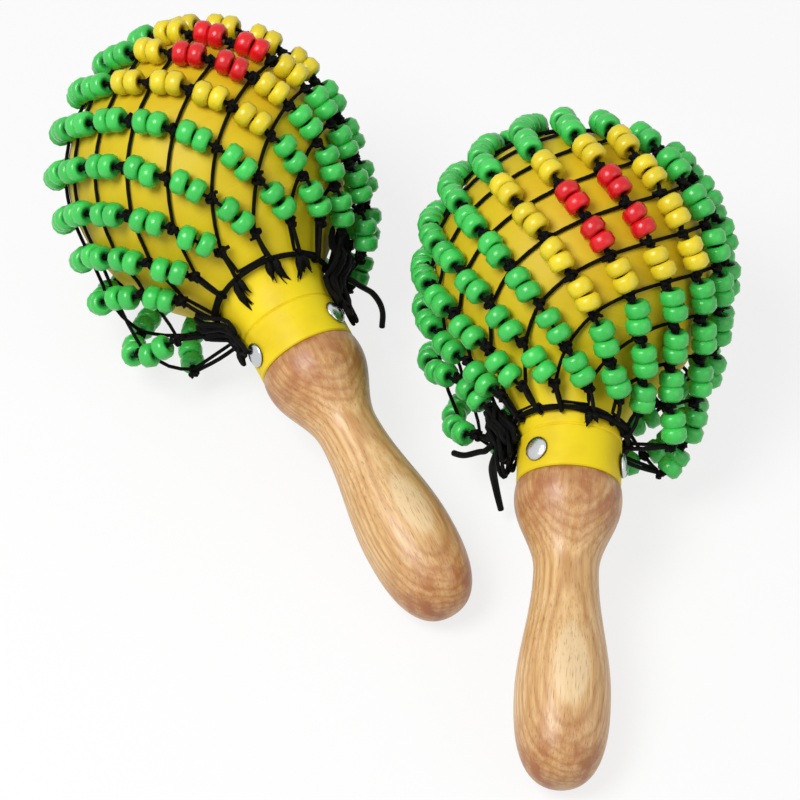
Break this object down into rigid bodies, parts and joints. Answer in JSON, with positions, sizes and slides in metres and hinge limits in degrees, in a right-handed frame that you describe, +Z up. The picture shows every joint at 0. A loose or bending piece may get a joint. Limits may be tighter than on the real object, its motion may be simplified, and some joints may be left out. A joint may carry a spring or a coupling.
{
  "type": "pair of beaded maracas",
  "caption": "Pair of hand maracas lying on a table: hollow yellow heads riveted to turned wooden handles, each with a loose knotted net of green, yellow and red beads.",
  "frame": {"origin": "on the table, at the middle of the pair's footprint", "axes": "+Z up; +Y the way the heads point; +X from maraca a towards maraca b"},
  "size_m": [0.2676, 0.3106, 0.1258],
  "materials": {
    "shell_yellow": "moulded, semi-gloss, opaque yellow",
    "wood": "turned light hardwood under clear lacquer",
    "rivet_steel": "nickelled, domed",
    "cord_black": "waxed black cord",
    "beads_green": "moulded pony beads on black cord, mostly green with a yellow and red diamond",
    "shot_steel": "plain steel pellets, not seen"
  },
  "bodies": {
    "maraca_a": {"head_shell_a": "shell_yellow", "handle_a": "wood", "rivet_a_1": "rivet_steel", "rivet_a_2": "rivet_steel", "rivet_a_3": "rivet_steel"},
    "net_a": {"bead_strand_a_01": "beads_green", "bead_strand_a_02": "beads_green", "bead_strand_a_03": "beads_green", "bead_strand_a_04": "beads_green", "bead_strand_a_05": "beads_green", "bead_strand_a_06": "beads_green", "bead_strand_a_07": "beads_green", "bead_strand_a_08": "beads_green", "bead_strand_a_09": "beads_green", "bead_strand_a_10": "beads_green", "bead_strand_a_11": "beads_green", "bead_strand_a_12": "beads_green", "bead_strand_a_13": "beads_green", "bead_strand_a_14": "beads_green", "net_cord_a": "cord_black", "crown_cord_a": "cord_black", "draw_cord_a": "cord_black", "cord_tail_a_1": "cord_black"},
    "shot_a": {"shot_a_1": "shot_steel", "shot_a_2": "shot_steel", "shot_a_3": "shot_steel", "shot_a_4": "shot_steel"},
    "maraca_b": {"head_shell_b": "shell_yellow", "handle_b": "wood", "rivet_b_1": "rivet_steel", "rivet_b_2": "rivet_steel", "rivet_b_3": "rivet_steel"},
    "net_b": {"bead_strand_b_01": "beads_green", "bead_strand_b_02": "beads_green", "bead_strand_b_03": "beads_green", "bead_strand_b_04": "beads_green", "bead_strand_b_05": "beads_green", "bead_strand_b_06": "beads_green", "bead_strand_b_07": "beads_green", "bead_strand_b_08": "beads_green", "bead_strand_b_09": "beads_green", "bead_strand_b_10": "beads_green", "bead_strand_b_11": "beads_green", "bead_strand_b_12": "beads_green", "bead_strand_b_13": "beads_green", "bead_strand_b_14": "beads_green", "net_cord_b": "cord_black", "crown_cord_b": "cord_black", "draw_cord_b": "cord_black", "cord_tail_b_1": "cord_black", "cord_tail_b_2": "cord_black"},
    "shot_b": {"shot_b_1": "shot_steel", "shot_b_2": "shot_steel", "shot_b_3": "shot_steel", "shot_b_4": "shot_steel"}
  },
  "joints": [
    {"name": "net_turn_a", "type": "hinge", "parent": "maraca_a", "child": "net_a", "pos_m": [-0.02993, 0.01932, 0.04031], "axis": [-0.4575, 0.8532, 0.2503], "range_deg": [-15, 15]},
    {"name": "shot_swirl_a", "type": "hinge", "parent": "maraca_a", "child": "shot_a", "pos_m": [-0.02993, 0.01932, 0.04031], "axis": [-0.4575, 0.8532, 0.2503], "continuous": true},
    {"name": "net_turn_b", "type": "hinge", "parent": "maraca_b", "child": "net_b", "pos_m": [0.06641, -0.04279, 0.04056], "axis": [0.0591, 0.9657, 0.2528], "range_deg": [-15, 15]},
    {"name": "shot_swirl_b", "type": "hinge", "parent": "maraca_b", "child": "shot_b", "pos_m": [0.06641, -0.04279, 0.04056], "axis": [0.0591, 0.9657, 0.2528], "continuous": true},
    {"name": "maraca_b_lift", "type": "slide", "parent": "maraca_a", "child": "maraca_b", "axis": [0, 0, 1], "range_m": [0, 0.12]}
  ]
}
